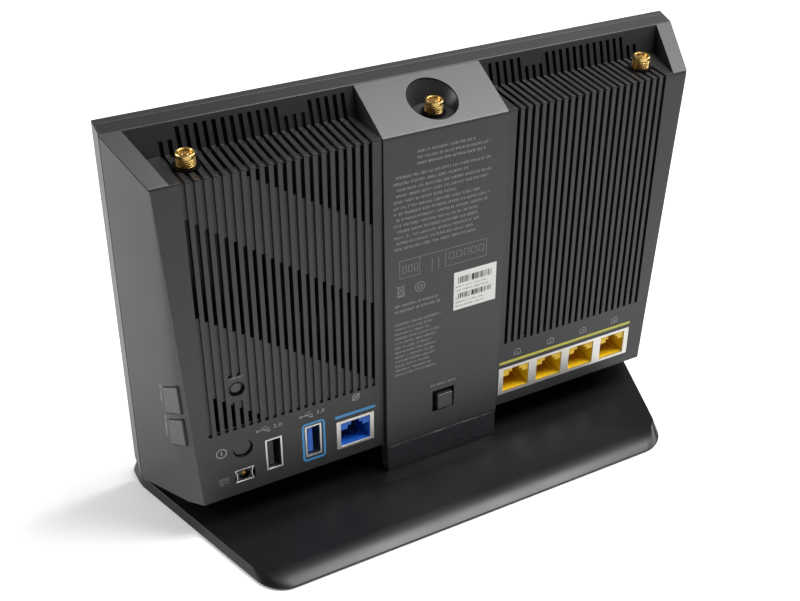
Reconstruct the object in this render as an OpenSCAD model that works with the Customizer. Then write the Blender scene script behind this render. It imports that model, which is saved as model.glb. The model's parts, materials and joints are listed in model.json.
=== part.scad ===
// Upright wireless router on a low stand. Millimetres, Z up.
// The ports and the vent slots are on the rear, +Y. The indicator front is -Y.
// The origin is on the table, under the middle of the stand.

/* [Body] */
// Width of the body across the front cover
body_w = 220; // [200:1:270]
// Height of the body's top edge above the table
body_h = 153.3; // [145:0.1:190]
// Depth of the front cover's band along each side
band_d = 8; // [6.5:0.5:10]
// Depth of the front cover's lip along the top
lip_d = 3.6; // [3:0.1:5]
// Wall of both casings
wall = 2; // [1.6:0.1:2.4]
// Thickness of the front cover's face, with the panel's recess
face_t = 3.2; // [3:0.1:4]
// How much the side walls draw in towards the rear, in degrees
side_taper = 19.6; // [8:0.1:22]
// Lean of the rear face, in degrees
rear_lean = 4.7; // [2:0.1:7]
// Distance from the front face to the rear face at the top edge
top_d = 29.9; // [28:0.1:36]
// Distance from the front face to the crest where the top chamfer starts
crest_d = 8.2; // [7.5:0.1:10]
// Fall of the top chamfer from the crest to the rear edge
chamfer_fall = 9.6; // [8:0.1:12]
// Height of the body's underside above the table at the front
belly_front = 7.3; // [6.5:0.1:10]
// Height of the body's underside above the table at the rear
belly_rear = 16.3; // [14:0.1:18]

/* [Vents] */
// Slots on each side of the spine
slot_count = 22; // [10:1:22]
// Distance between slots
slot_pitch = 3.007; // [2.6:0.001:3.1]
// Width of a slot
slot_w = 1.4; // [1:0.1:1.6]
// Depth of the groove that every slot has
groove_d = 0.9; // [0.5:0.1:1.2]
// Slot nearest the spine, from the middle
slot_first = 28.7; // [27.5:0.1:30]
// Length of a slot down the rear face
slot_len = 97.5; // [80:0.5:98]
// Plain margin between the side wall and the antenna recess, at its front
margin_w = 6.9; // [5:0.1:9]
// How much the antenna recesses' ends draw in towards the rear, in degrees
recess_taper = 18.2; // [8:0.1:22]

/* [Spine] */
// Width of the spine cover
spine_w = 48.6; // [44:0.1:50]
// How far the spine stands proud at its foot
spine_proud = 2.2; // [1:0.1:3]
// How far the spine is let into the rear shell
spine_recess = 1; // [0.8:0.1:1.2]
// Shadow gap down each side of the spine
spine_gap = 0.3; // [0.2:0.05:0.5]
// Radius of the well round the middle antenna connector
well_r = 9.2; // [7:0.1:10]

/* [Stand] */
// Overall depth of the stand
stand_d = 83.3; // [75:0.1:110]
// How far the stand reaches in front of the body
stand_lip = 7.5; // [4:0.1:12]
// Height of the stand's top face
stand_t = 4.2; // [4:0.1:6]
// Height of the rubber feet below the stand
foot_h = 0.5; // [0.4:0.1:0.7]
// Length of the sloping face along the rear of the stand
stand_bevel = 7.3; // [4:0.1:10]
// How much the stand's sides draw in towards the rear, in degrees
stand_taper = 18.8; // [8:0.1:22]

/* [Ports] */
// Distance down the rear face to the middle of the network sockets
jack_s = 115.2; // [112:0.1:116]
// Distance between network sockets
jack_pitch = 15.75; // [15.2:0.01:16]
// Middle of the four-socket block, from the middle of the body
lan_x = -58.2; // [-60:0.1:-58]
// Middle of the single socket
wan_x = 36.4; // [35:0.1:38]
// Width of a network socket's opening
jack_open_w = 11.7; // [11.6:0.1:12]
// Height of a network socket's opening below its latch notch
jack_open_h = 6.8; // [6.6:0.1:7]
// Middle of the first USB socket
usb2_x = 68.9; // [67:0.1:70]
// Middle of the second USB socket
usb3_x = 53.4; // [52:0.1:55]
// Distance down the rear face to the middle of both USB sockets
usb_s = 113.3; // [111:0.1:114]
// Bore of the power inlet, for a 4 mm barrel plug
dc_bore = 4.2; // [4.1:0.1:4.4]
// Middle of the power inlet
dc_x = 80.7; // [79:0.1:83]
// Distance down the rear face to the middle of the power inlet
dc_s = 118.3; // [117:0.1:119]

/* [Buttons] */
// Radius of the power button
power_r = 3.4; // [3:0.1:3.8]
// Travel of the power button
power_travel = 2; // [1:0.1:2.5]
// Radius of the reset button
reset_r = 1.9; // [1.4:0.1:2.1]
// Side of the square light button
led_side = 6.6; // [5.5:0.1:7.4]
// Side of the square window round the light button
led_window = 9.4; // [8.4:0.1:10]
// Width of a side button along the wall
tab_w = 7.4; // [6:0.1:8.5]
// Height of a side button
tab_h = 11.1; // [8:0.1:11.5]
// Gap round a moving button
button_gap = 0.35; // [0.25:0.05:0.5]

/* [Antennas] */
// Radius of a connector's thread, quarter inch
thread_r = 3.175; // [3.1:0.005:3.2]
// Height of a connector above the floor of its recess
thread_h = 5; // [4.6:0.1:7]
// Distance of the outer connectors from the middle
antenna_x = 87.4; // [80:0.1:88]
// Distance of the connectors from the front face
antenna_y = 20.7; // [19:0.1:22]

/* [Board] */
// Distance from the rear face to the near side of the main board
board_n = 19; // [18:0.5:20]
// Thickness of the main board
board_t = 1.6; // [1:0.1:2]
// Half width of the main board
board_half = 92; // [88:1:94]

/* [Hidden] */

$fn = 48;
over = 1;          // how far a cutter reaches past the face it cuts
fit = 0.15;        // clearance round a piece that is set into another
far = 400;         // longer than anything here

// The side view, in distance from the front face and height.
front_y = -stand_d/2 + stand_lip;
crest = [crest_d, body_h - 1.6];
edge = [top_d, crest[1] - chamfer_fall];
foot_y = edge[0] + (edge[1] - belly_rear)*tan(rear_lean);
heel = [foot_y, belly_rear];
toe = [7.6, belly_front];
shin = [0, belly_front + 6.2];
brow = [0, body_h - 1.5];
peak = [1.3, body_h];
corner = [0, body_h + 0.3];
sharp_outline = [shin, toe, heel, edge, crest, corner];
belly_slope = (heel[1] - toe[1])/(heel[0] - toe[0]);
chamfer_angle = atan2(crest[1] - edge[1], edge[0] - crest[0]);
face_len = norm(heel - edge);

// The plan, in width and distance from the front face.
half_w = body_w/2;
rear_reach = 50;
rear_half = half_w - (rear_reach - band_d)*tan(side_taper);
plan = [[-half_w + 1, 0], [half_w - 1, 0], [half_w, 1.3], [half_w, band_d],
    [rear_half, rear_reach], [-rear_half, rear_reach], [-half_w, band_d], [-half_w, 1.3]];
recess_front = half_w - margin_w - (crest_d - band_d)*tan(side_taper);
recess_rear = half_w - (rear_reach - band_d)*tan(recess_taper) - margin_w;

// The antenna recess: a back wall under the crest and a level floor.
floor_z = edge[1];
back_foot = [crest_d + 4, floor_z];
recess = [back_foot, [far/4, floor_z], [far/4, body_h + 20], [crest_d - 2, body_h + 20],
    crest + [0.2, 0.2]];
slot_top = crest[1] - 2.3;
short_top = crest[1] - 5.6;
back_cut = wall + 0.6;

// The spine's outer face, which leans a little more than the rear face.
spine_top = 0.5;
spine_lean = rear_lean + atan2(spine_proud - spine_top, face_len);
chamfer_dir = [cos(chamfer_angle), -sin(chamfer_angle)];
rear_out = [cos(rear_lean), sin(rear_lean)];
spine_edge = edge + chamfer_dir*spine_top/(chamfer_dir*rear_out);
spine_s = face_len + 0.2;

// Sockets.
jack_depth = board_n;
jack_w = 15.5;
jack_h = 12.7;
housing_w = 14.2;
notch_w = 6.2;
notch_h = 1.5;
catch_w = 3.4;
catch_h = 1.6;
plug_depth = 12.5;
sheet = 0.35;
lan_w = 3*jack_pitch + jack_w + 0.9;
usb_w = 5.8;
usb_h = 13.2;
usb_depth = 14;
tongue_t = 1.9;
stripe_s = jack_s - 8.7;

// Places of the buttons.
power_x = 80.6;
power_s = 106.5;
reset_x = 80.9;
reset_s = 80.4;
led_s = 111.8;
tab_along = 20.1;
tab_top = 63.8;
tab_slant = 30;
tab_drop = 13.9;
tab_lean = tan(rear_lean);
tab_t = 1.8;
reset_travel = 0.8;
led_travel = 1.2;

// Posts that carry the board, and screws that close the case.
post_r = 3;
post_at = [[-82, 16], [-28, 14], [28, 14], [82, 16], [-20, 92], [74, 92], [-84, 100]];
case_at = [[-9, 30], [9, 88]];
neck_half = 21;
neck_y = [11, 36];
feet_at = [[-90, 8.5], [90, 8.5], [-72, 59], [72, 59], [0, 33]];

function unit(v) = v/norm(v);
// Moves every side of a counter-clockwise outline inwards by d.
function inset(p, d) = [for (i = [0:len(p) - 1])
    let (a = p[(i + len(p) - 1) % len(p)], b = p[i], c = p[(i + 1) % len(p)],
        u = unit(b - a), v = unit(c - b), m = [-u[1], u[0]], n = [-v[1], v[0]])
    b + (m + n)*d/(1 + m*n)];
// Rounds each corner of an outline with its own radius.
function rounded(p, radii, steps = 10) = [for (i = [0:len(p) - 1])
    let (b = p[i], u = unit(p[(i + len(p) - 1) % len(p)] - b), v = unit(p[(i + 1) % len(p)] - b),
        half = acos(u*v)/2, r = radii[i], mid = b + unit(u + v)*r/sin(half),
        start = atan2(-v[0]*(u*v) + u[0] == 0 ? 0 : (b + u*r/tan(half) - mid)[1],
            (b + u*r/tan(half) - mid)[0]),
        stop = atan2((b + v*r/tan(half) - mid)[1], (b + v*r/tan(half) - mid)[0]),
        turn = (stop - start + 540) % 360 - 180)
    each r == 0 ? [b] : [for (k = [0:steps]) mid + r*[cos(start + turn*k/steps),
        sin(start + turn*k/steps)]]];
// Depth range, down the rear face, over which a left-hand slot goes right through.
function deep_start(x) = 12.8 + (92.1 - x)*49/63.2;
function deep_stop(x) = 48.8 + (92.1 - x)*44.2/61.1;
function upper_stop(x) = 7.6 + (64 - x)*23.3/35.5;
function lower_start(x) = 82 + (89 - x)*0.8;

// The body's side view, with its rear edge rounded.
edge_r = 1.2;
outline = rounded([shin, toe, heel, edge, crest, peak, brow], [0, 0, 0, edge_r, 0, 0, 0], 4);
module body_frame() translate([0, front_y, 0]) children();
// Local frame on the rear face: X across, Y outwards, Z up the face. s is the distance down it.
module on_rear(x, s) body_frame() translate([0, edge[0], edge[1]])
    rotate([rear_lean, 0, 0]) translate([x, 0, -s]) children();
// The same on the spine's outer face.
module on_spine(x, s) body_frame() translate([0, spine_edge[0], spine_edge[1]])
    rotate([spine_lean, 0, 0]) translate([x, 0, -s]) children();
// Local frame on the side wall: X outwards, Y back along the wall, Z up.
module on_side() body_frame() translate([half_w, band_d, 0]) rotate([0, 0, side_taper]) children();
// A side view outline, extruded across the width.
module across(points, w) rotate([90, 0, 90]) linear_extrude(w, center = true) polygon(points);
// A box centred on X and Z that runs from y0 to y1.
module block(w, h, y0, y1) translate([-w/2, y0, -h/2]) cube([w, y1 - y0, h]);
module peg(r, y0, y1) translate([0, y1, 0]) rotate([90, 0, 0]) cylinder(r = r, h = y1 - y0);

module body_solid(t, points) body_frame() intersection() {
    across(inset(points, t), far);
    linear_extrude(far) polygon(inset(plan, t));
}
module cavity() difference() {
    body_solid(wall, sharp_outline);
    body_frame() translate([-far/2, -far, 0]) cube([far, far + face_t, far]);
    recess_solid(wall);
}
module recess_solid(t) body_frame() intersection() {
    across(inset(recess, -t), far);
    linear_extrude(far) polygon(inset([[-recess_front, crest_d], [recess_front, crest_d],
        [recess_rear, rear_reach], [-recess_rear, rear_reach]], -t - (t > 0 ? 0 : 0.01)));
}
// What belongs to the front cover: the band at the sides and the lip along the top.
module front_zone() body_frame() difference() {
    translate([-far/2, -over, 0]) cube([far, band_d + over, far]);
    translate([-half_w + 0.9, lip_d, crest[1] - 2.4]) cube([body_w - 1.8, band_d, far]);
    translate([0, -front_y, 0]) recess_solid(wall);
}
// Fine groove between the top and the side wall.
module edge_groove() body_frame() difference() {
    across([crest + [-4.6, 0.35], crest - [0, 0.75], edge + [3, -2.1], edge + [3, -1.65],
        crest - [0, 0.3], crest + [-4.6, 0.8]], far);
    linear_extrude(far) polygon(inset(plan, 0.5));
}

// A point a distance s down the rear face and n out from it, in the side view.
function rear_pt(s, n) = edge + n*rear_out + s*[sin(rear_lean), -cos(rear_lean)];
// The steps of a slot down the rear face. Each pair in holes is a stretch that goes right through.
function slot_steps(holes) = [for (h = holes) each h[1] - h[0] > 1 ? [rear_pt(h[0], -groove_d),
    rear_pt(h[0], -wall - over), rear_pt(h[1], -wall - over), rear_pt(h[1], -groove_d)] : []];
// One slot from the antenna recess over the rear edge and down the rear face, cut as one piece.
module slot(top, floor_d, stop, holes) {
    high = crest + (back_foot - crest)*(crest[1] - top)/(crest[1] - back_foot[1]);
    across(concat([rear_pt(-over, over), high + [over, 0.5], high - [back_cut, 0],
        back_foot - [back_cut, groove_d], back_foot + [1.5, -groove_d], back_foot + [1.5, -floor_d],
        [edge[0] - 4, floor_z - floor_d], [edge[0] - 4, floor_z - groove_d],
        rear_pt(groove_d, -groove_d)], slot_steps(holes), [rear_pt(stop, -groove_d),
        rear_pt(stop, over)]), slot_w);
}
// The lower part of a slot that is interrupted by the reset hole.
module low_slot(s0, s1, holes) across(concat([rear_pt(s0, over), rear_pt(s0, -groove_d)],
    slot_steps(holes), [rear_pt(s1, -groove_d), rear_pt(s1, over)]), slot_w);
module slots(side) for (k = [0:slot_count - 1]) {
    x = slot_first + k*slot_pitch;
    top = k > slot_count - 3 || k > 4 && k < 8 ? short_top : slot_top;
    split = side > 0 && abs(x - reset_x) < 3.2;
    last = split ? reset_s - 5 : slot_len;
    low = lower_start(x) < slot_len - 3 && k < slot_count - 1 ? lower_start(x) : slot_len;
    body_frame() translate([side*x, 0, 0]) {
        slot(top, abs(x - antenna_x) < 6.5 ? groove_d + 0.1 : wall + over, last,
            side < 0 ? [[1.2, slot_len - 0.6]] : [[1.2, upper_stop(x)], [deep_start(x),
                min(deep_stop(x), last - 1)], [split ? last : low, last - 1]]);
        if (split) low_slot(reset_s + 5, slot_len, [[lower_start(x), slot_len - 1]]);
    }
}
// Shallow bevel down each rear corner of the body, wider towards the foot.
module corner_bevel(side) body_frame() translate([side*(half_w - (edge[0] - band_d)*tan(side_taper)
    - 0.1), edge[0], edge[1]]) rotate([rear_lean, side*2.4, 0]) rotate([0, 0, side*32])
    translate([side > 0 ? 0 : -12, -8, -far/2]) cube([12, 16, far]);

// Fine groove down each side, where the two halves of the casing meet.
module seam_groove() body_frame() difference() {
    translate([-far/2, band_d, 0]) cube([far, 0.35, far]);
    linear_extrude(far) polygon(inset(plan, 0.5));
}

module front_cover() color("#2b2b2d") {
    difference() {
        union() {
            intersection() {
                difference() {
                    body_solid(0, outline);
                    cavity();
                }
                front_zone();
            }
            intersection() {
                for (p = concat(post_at, case_at)) on_rear(p[0], p[1])
                    peg(post_r, -far/4, -board_n - board_t);
                difference() {
                    body_solid(1, sharp_outline);
                    body_frame() translate([-far/2, -far, 0]) cube([far, far + face_t - 0.5, far]);
                }
            }
        }
        body_frame() panel_plate(0, 1.4, 0);
        body_frame() lens_plate(0, face_t + over, 0);
        for (p = post_at) on_rear(p[0], p[1]) peg(1.1, -board_n - board_t - 6, -board_n);
        for (p = case_at) on_rear(p[0], p[1]) peg(1.2, -board_n - board_t - 6, -board_n);
    }
}
panel_half = half_w - 5;
panel_z = [shin[1] + 9, brow[1] - 4];
lens_half = 62;
lens_z = [shin[1] + 1.6, shin[1] + 6.4];
// A plate set into the front face, with play round it.
module panel_plate(y0, y1, play) translate([-panel_half + play, y0 - (play > 0 ? 0 : over),
    panel_z[0] + play]) cube([2*(panel_half - play), y1 - y0 + (play > 0 ? 0 : over),
    panel_z[1] - panel_z[0] - 2*play]);
module lens_plate(y0, y1, play) translate([-lens_half + play, y0 - (play > 0 ? 0 : over),
    lens_z[0] + play]) cube([2*(lens_half - play), y1 - y0 + (play > 0 ? 0 : over),
    lens_z[1] - lens_z[0] - 2*play]);
module front_panel() color("#1c1c1f") body_frame() panel_plate(0.1, 1.4, fit);
module led_lens() color("#3a3f45") body_frame() lens_plate(0.2, face_t, fit);
module light_guide() color("#d8dde0") body_frame() difference() {
    translate([-lens_half + 2, face_t, lens_z[0] - 1]) cube([2*lens_half - 4, 4, 7]);
    for (x = [-lens_half + 9:13:lens_half - 9]) translate([x, face_t + 2, lens_z[0] - 2])
        cube([2, 3, 9]);
}

module rear_shell() color("#262629") difference() {
    body_solid(0, outline);
    cavity();
    front_zone();
    recess_solid(0);
    edge_groove();
    seam_groove();
    for (side = [-1, 1]) {
        slots(side);
        corner_bevel(side);
    }
    spine_bed();
    port_windows();
    for (x = [-antenna_x, 0, antenna_x]) body_frame() translate([x, antenna_y, floor_z - wall - over])
        cylinder(r = shank_r + fit, h = wall + 2*over);
    for (z = [tab_top, tab_top - tab_drop]) on_side() tab_solid(z, wall + over, button_gap);
    for (p = case_at) on_rear(p[0], p[1]) peg(1.8, -wall - over, over);
}
module spine_bed() {
    on_rear(0, 0) translate([-spine_w/2 - spine_gap, -spine_recess, -face_len - over])
        cube([spine_w + 2*spine_gap, spine_recess + over, face_len + 2*over]);
    on_rear(0, led_s) block(led_window + 2.2, led_window + 2.2, -wall - over, over);
}
module port_windows() {
    on_rear(lan_x, jack_s) block(lan_w + 2*fit, jack_h + 2*fit, -wall - over, over);
    on_rear(wan_x, jack_s) block(jack_w + 2*fit, jack_h + 2*fit, -wall - over, over);
    for (x = [usb2_x, usb3_x]) on_rear(x, usb_s) block(usb_w + 1.1, usb_h + 1.1, -wall - over, over);
    on_rear(dc_x, dc_s) block(dc_w + 2*fit, dc_h + 2*fit, -wall - over, over);
    on_rear(power_x, power_s) peg(power_r + button_gap, -wall - over, over);
    on_rear(reset_x, reset_s) peg(reset_r + 1.05, -wall - over, over);
    on_rear(lan_x, stripe_s) block(lan_w, stripe_h, -stripe_d, over);
    on_rear(wan_x, stripe_s) block(jack_w + 1, stripe_h, -stripe_d, over);
    on_rear(usb3_x, usb_s) frame_ring(-stripe_d, over);
}
stripe_h = 1.2;
stripe_d = 0.4;
stripe_lift = 0.08;
dc_w = 7.6;
dc_h = 5.6;
frame_outer = [9.2, 17.2];
frame_line = 0.85;
module frame_ring(y0, y1) translate([0, y1, 0]) rotate([90, 0, 0]) linear_extrude(y1 - y0)
    difference() {
        polygon(rounded([[-1, -1], [1, -1], [1, 1], [-1, 1]]*[[frame_outer[0]/2, 0],
            [0, frame_outer[1]/2]], [1, 1, 1, 1]*1.6, 6));
        square([frame_outer[0] - 2*frame_line, frame_outer[1] - 2*frame_line], center = true);
    }

// The front edge of the cover's underside at height z, a wall's thickness below the chamfer.
function chamfer_in(z) = edge[0] + (edge[1] - z)/tan(chamfer_angle) - wall/sin(chamfer_angle);
function spine_pt(s, n) = spine_edge + n*[cos(spine_lean), sin(spine_lean)]
    + s*[sin(spine_lean), -cos(spine_lean)];
seat = spine_recess - 0.02;
spine_outline = rounded([crest + [0.4, -0.2], back_foot + [0.2, 0.02], [rear_pt(0, -seat)[0],
    floor_z + 0.02], rear_pt(face_len, -seat), spine_pt(spine_s, 0), spine_edge],
    [0, 0, 0, 0, 0.5, edge_r], 6);
roof_z = crest[1] - 3.4;
well_y = 19.4;
well_floor = [20.3, 7];
module spine_cover() color("#2e2e31") difference() {
    body_frame() across(spine_outline, spine_w);
    difference() {
        body_frame() across([[chamfer_in(roof_z), roof_z], [back_foot[0] + 1.5, floor_z - over],
            [chamfer_in(floor_z), floor_z - over], [chamfer_in(floor_z), floor_z]],
            spine_w - 2*wall);
        body_frame() translate([0, well_y, floor_z - 2]) cylinder(r = well_r + 1.6, h = 20);
    }
    well_cut();
    on_spine(0, led_s) block(led_window, led_window, -far/4, over);
}
// The flared well round the middle antenna connector.
module well_cut() body_frame() {
    hull() {
        translate([0, well_floor[0], floor_z - 0.4]) cylinder(r = well_floor[1], h = 0.4);
        translate([0, well_y, edge[1] + (edge[0] - well_y)*tan(chamfer_angle)])
            rotate([-chamfer_angle, 0, 0]) translate([0, 0, -0.7]) cylinder(r = well_r, h = 2);
    }
}
block_t = 5.3;
module clear_block() color("#b8c0c8", 0.6) difference() {
    on_spine(0, spine_s) translate([-spine_w/2 + 0.2, -block_t, -far/4])
        cube([spine_w - 0.4, block_t, far/4]);
    body_frame() translate([-far/2, 0, -far + stand_t]) cube([far, far, far]);
    body_frame() across([toe - [0, 0.1], heel - [0, 0.1], heel + [far, -0.1], [far, far],
        [0, far]], far);
}

stand_front_half = half_w;
stand_straight = 5;
stand_rear_y = stand_d - stand_lip;
stand_rear_half = stand_front_half - (stand_rear_y - stand_straight)*tan(stand_taper);
stand_plan = rounded([[-stand_front_half, -stand_lip], [stand_front_half, -stand_lip],
    [stand_front_half, stand_straight], [stand_rear_half, stand_rear_y],
    [-stand_rear_half, stand_rear_y], [-stand_front_half, stand_straight]],
    [5, 5, 18, 12, 12, 18]);
stand_inner = inset([[-stand_front_half, -stand_lip], [stand_front_half, -stand_lip],
    [stand_front_half, stand_straight], [stand_rear_half, stand_rear_y],
    [-stand_rear_half, stand_rear_y], [-stand_front_half, stand_straight]], 9);
cover_t = 1;
roof_t = 1.4;
weight_t = stand_t - foot_h - cover_t - roof_t - 0.1;
// The top face stops short of the plan, by little at the sides and by the bevel at the rear.
stand_rim = 1.2;
stand_top = rounded([[-stand_front_half + stand_rim, -stand_lip + stand_rim],
    [stand_front_half - stand_rim, -stand_lip + stand_rim],
    [stand_front_half - stand_rim, stand_straight],
    [stand_rear_half - stand_rim + stand_bevel*tan(stand_taper), stand_rear_y - stand_bevel],
    [-stand_rear_half + stand_rim - stand_bevel*tan(stand_taper), stand_rear_y - stand_bevel],
    [-stand_front_half + stand_rim, stand_straight]], [4, 4, 17, 8, 8, 17]);
module stand_base() color("#0e0e10") difference() {
    body_frame() hull() {
        translate([0, 0, foot_h]) linear_extrude(0.5) polygon(stand_plan);
        translate([0, 0, stand_t - 0.1]) linear_extrude(0.1) polygon(stand_top);
    }
    body_frame() translate([0, 0, foot_h - over]) linear_extrude(stand_t - roof_t - foot_h + over)
        polygon(stand_inner);
    for (x = [-12, 12]) body_frame() translate([x, mid_neck, 0]) cylinder(r = 2, h = stand_t + over);
}
mid_neck = (neck_y[0] + neck_y[1])/2;
module stand_weight() color("#8a8d90") difference() {
    body_frame() translate([0, 0, foot_h + cover_t]) linear_extrude(weight_t)
        polygon(inset(stand_inner, 1));
    for (x = [-12, 12]) body_frame() translate([x, mid_neck, 0]) cylinder(r = 4, h = stand_t);
}
module stand_cover() color("#1a1a1c") difference() {
    body_frame() translate([0, 0, foot_h]) linear_extrude(cover_t) polygon(inset(stand_inner, fit));
    for (p = feet_at) body_frame() translate([p[0], p[1], foot_h - over])
        cylinder(r = 5.2, h = over + 0.5);
    for (x = [-12, 12]) body_frame() translate([x, mid_neck, 0]) cylinder(r = 3.6, h = stand_t);
}
module rubber_feet() color("#141414") for (p = feet_at) body_frame() translate([p[0], p[1], 0])
    cylinder(r = 5, h = foot_h + 0.5);
module stand_neck() color("#101012") difference() {
    body_frame() across([[neck_y[0], stand_t], [neck_y[1], stand_t],
        [neck_y[1], toe[1] + (neck_y[1] - toe[0])*belly_slope],
        [neck_y[0], toe[1] + (neck_y[0] - toe[0])*belly_slope]], 2*neck_half);
    for (x = [-12, 12]) body_frame() translate([x, mid_neck, 0]) cylinder(r = 1.4, h = far);
}
module stand_screws() color("#a9abae") for (x = [-12, 12]) body_frame()
    translate([x, mid_neck, stand_t - roof_t - 1.5]) {
        cylinder(r = 3, h = 1.5);
        cylinder(r = 1.4, h = 8);
    }

module main_board() color("#1d5a36") difference() {
    on_rear(0, 0) translate([-board_half, -board_n - board_t, -face_len + 6])
        cube([2*board_half, board_t, face_len - 14]);
    for (p = post_at) on_rear(p[0], p[1]) peg(1.4, -board_n - board_t - over, -board_n + over);
    for (p = case_at) on_rear(p[0], p[1]) peg(1.8, -board_n - board_t - over, -board_n + over);
}
module board_screws() color("#b9bbbe") for (p = post_at) on_rear(p[0], p[1]) {
    peg(2.4, -board_n, -board_n + 1.4);
    peg(1.1, -board_n - board_t - 5, -board_n + 0.2);
}
module case_screws() color("#b9bbbe") for (p = case_at) on_rear(p[0], p[1]) {
    peg(1.2, -board_n - board_t - 5, -wall + 0.1);
    peg(1.6, -wall, -spine_recess - 0.1);
}
// A finned block that stands on the rear side of the board, over one chip.
module heatsink(x, s, w, h, lift, fins) on_rear(x, s) {
    block(w, h, -board_n + lift, -board_n + lift + 2);
    for (k = [0:fins - 1]) translate([-w/2 + 0.6 + k*(w - 1.2)/(fins - 1), 0, 0])
        block(1.2, h, -board_n + lift + 1.9, -board_n + lift + 9);
}
chip_t = 1.4;
module heatsink_large() color("#9fa2a6") heatsink(-62, 52, 50, 56, chip_t, 12);
module heatsink_small() color("#9fa2a6") heatsink(52, 46, 40, 40, chip_t, 10);
module processor() color("#222222") on_rear(-62, 52) block(24, 24, -board_n, -board_n + chip_t);
module radio_chips() color("#222222") {
    on_rear(52, 46) block(20, 20, -board_n, -board_n + chip_t);
    on_rear(-22, 48) block(14, 14, -board_n, -board_n + 1.2);
    on_rear(14, 66) block(12, 18, -board_n, -board_n + 1.2);
}
// A folded tin lid over the radio parts, on the front side of the board.
module shield_can(x) on_rear(x, 50) difference() {
    block(46, 46, -board_n - board_t - 3.5, -board_n - board_t);
    block(45, 45, -board_n - board_t - 3.1, -board_n - board_t + over);
}
module shield_can_left() color("#c9ccd0") shield_can(50);
module shield_can_right() color("#c9ccd0") shield_can(-55);
module capacitors() color("#30363c") for (p = [[4, 98], [14, 98], [-6, 104], [-4, 86]])
    on_rear(p[0], p[1]) peg(3.2, -board_n, -board_n + 9);

// The metal can round a row of network sockets, with one window for each.
module jack_shield(w, count) difference() {
    block(w, jack_h, -jack_depth, 0);
    block(w - 2*sheet, jack_h - 2*sheet, -jack_depth - over, -sheet);
    for (k = [0:count - 1]) translate([(k - (count - 1)/2)*jack_pitch, 0, 0])
        block(jack_open_w + 0.3, 10.4, -over, over);
}
module lan_shield() color("#c3c6c9") on_rear(lan_x, jack_s) jack_shield(lan_w, 4);
module wan_shield() color("#c3c6c9") on_rear(wan_x, jack_s) jack_shield(jack_w, 1);
// The plastic socket: a wide mouth with a stepped latch notch above it.
mouth_low = -4.9;
module jack_housing() difference() {
    block(housing_w, jack_h - 2*sheet - 0.2, -jack_depth + 0.3, -sheet - 0.05);
    translate([-jack_open_w/2, -plug_depth, mouth_low]) cube([jack_open_w, far, jack_open_h]);
    translate([-notch_w/2, -plug_depth, mouth_low]) cube([notch_w, far, jack_open_h + notch_h]);
    translate([-catch_w/2, -plug_depth, mouth_low])
        cube([catch_w, far, jack_open_h + notch_h + catch_h]);
}
module lan_housing(k) color("#e8c21c") on_rear(lan_x + (k - 2.5)*jack_pitch, jack_s) jack_housing();
module wan_housing() color("#1d62c4") on_rear(wan_x, jack_s) jack_housing();
// Eight sprung wires that rise from the floor of the mouth to its back.
module jack_contacts() for (k = [0:7]) translate([(k - 3.5)*1.02, 0, mouth_low])
    across([[-5.5, 0.1], [-4.5, 0.1], [-plug_depth, 1.7], [-plug_depth, 1.3]], 0.4);
module lan_contacts() color("#d9b23a") for (k = [1:4])
    on_rear(lan_x + (k - 2.5)*jack_pitch, jack_s) jack_contacts();
module wan_contacts() color("#d9b23a") on_rear(wan_x, jack_s) jack_contacts();

module usb_shell() {
    difference() {
        union() {
            block(usb_w, usb_h, -board_n, -0.3);
            block(usb_w + 0.8, usb_h + 0.8, -0.9, -0.2);
        }
        block(usb_w - 2*sheet, usb_h - 2*sheet, -board_n - over, over);
    }
    for (z = [-1, 1]) scale([1, 1, z]) translate([-0.2, 0, -usb_h/2])
        across([[-7, sheet - 0.1], [-1, sheet - 0.1], [-1, sheet], [-3.4, sheet + 0.5],
            [-4.6, sheet + 0.5], [-7, sheet]], 2.6);
}
// The plastic inside a USB socket: a solid back and a tongue on one side.
module usb_tongue() {
    block(usb_w - 2*sheet - 0.2, usb_h - 2*sheet - 0.2, -board_n + 0.2, -usb_depth + 3);
    translate([(usb_w - 2*sheet)/2 - 0.7 - tongue_t/2, 0, 0])
        block(tongue_t, 11.1, -usb_depth + 2, -1.4);
}
module usb2_shell() color("#bfc2c5") on_rear(usb2_x, usb_s) usb_shell();
module usb3_shell() color("#bfc2c5") on_rear(usb3_x, usb_s) usb_shell();
module usb2_tongue() color("#111111") on_rear(usb2_x, usb_s) usb_tongue();
module usb3_tongue() color("#1d62c4") on_rear(usb3_x, usb_s) usb_tongue();
module usb3_frame() color("#3f8fd0") on_rear(usb3_x, usb_s) frame_ring(-stripe_d, stripe_lift);
module wan_stripe() color("#3f8fd0") on_rear(wan_x, stripe_s)
    block(jack_w + 1 - 0.04, stripe_h - 0.04, -stripe_d, stripe_lift);
module lan_stripe() color("#d8d24a") on_rear(lan_x, stripe_s)
    block(lan_w - 0.04, stripe_h - 0.04, -stripe_d, stripe_lift);

// Outline of the inlet's mouth, drawn in at both sides.
dc_mouth = [[-1, -1], [1, -1], [0.8, -0.4], [0.8, 0.4], [1, 1], [-1, 1], [-0.8, 0.4],
    [-0.8, -0.4]]*[[dc_w/2, 0], [0, dc_h/2]];
module dc_prism(points, y0, y1) translate([0, y1, 0]) rotate([90, 0, 0])
    linear_extrude(y1 - y0) polygon(points);
module dc_jack() color("#1b1b1b") on_rear(dc_x, dc_s) difference() {
    union() {
        block(dc_w, dc_h, -board_n, -1.6);
        block(dc_w + 1.6, dc_h + 1, -board_n, -wall - 0.2);
        dc_prism(inset(dc_mouth, 0.45), -2, -0.3);
    }
    peg(dc_bore/2, -11, over);
}
module dc_rim() color("#c3c6c9") on_rear(dc_x, dc_s) difference() {
    dc_prism(dc_mouth, -1.55, 0);
    dc_prism(inset(dc_mouth, 0.42), -1.6, over);
}
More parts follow.
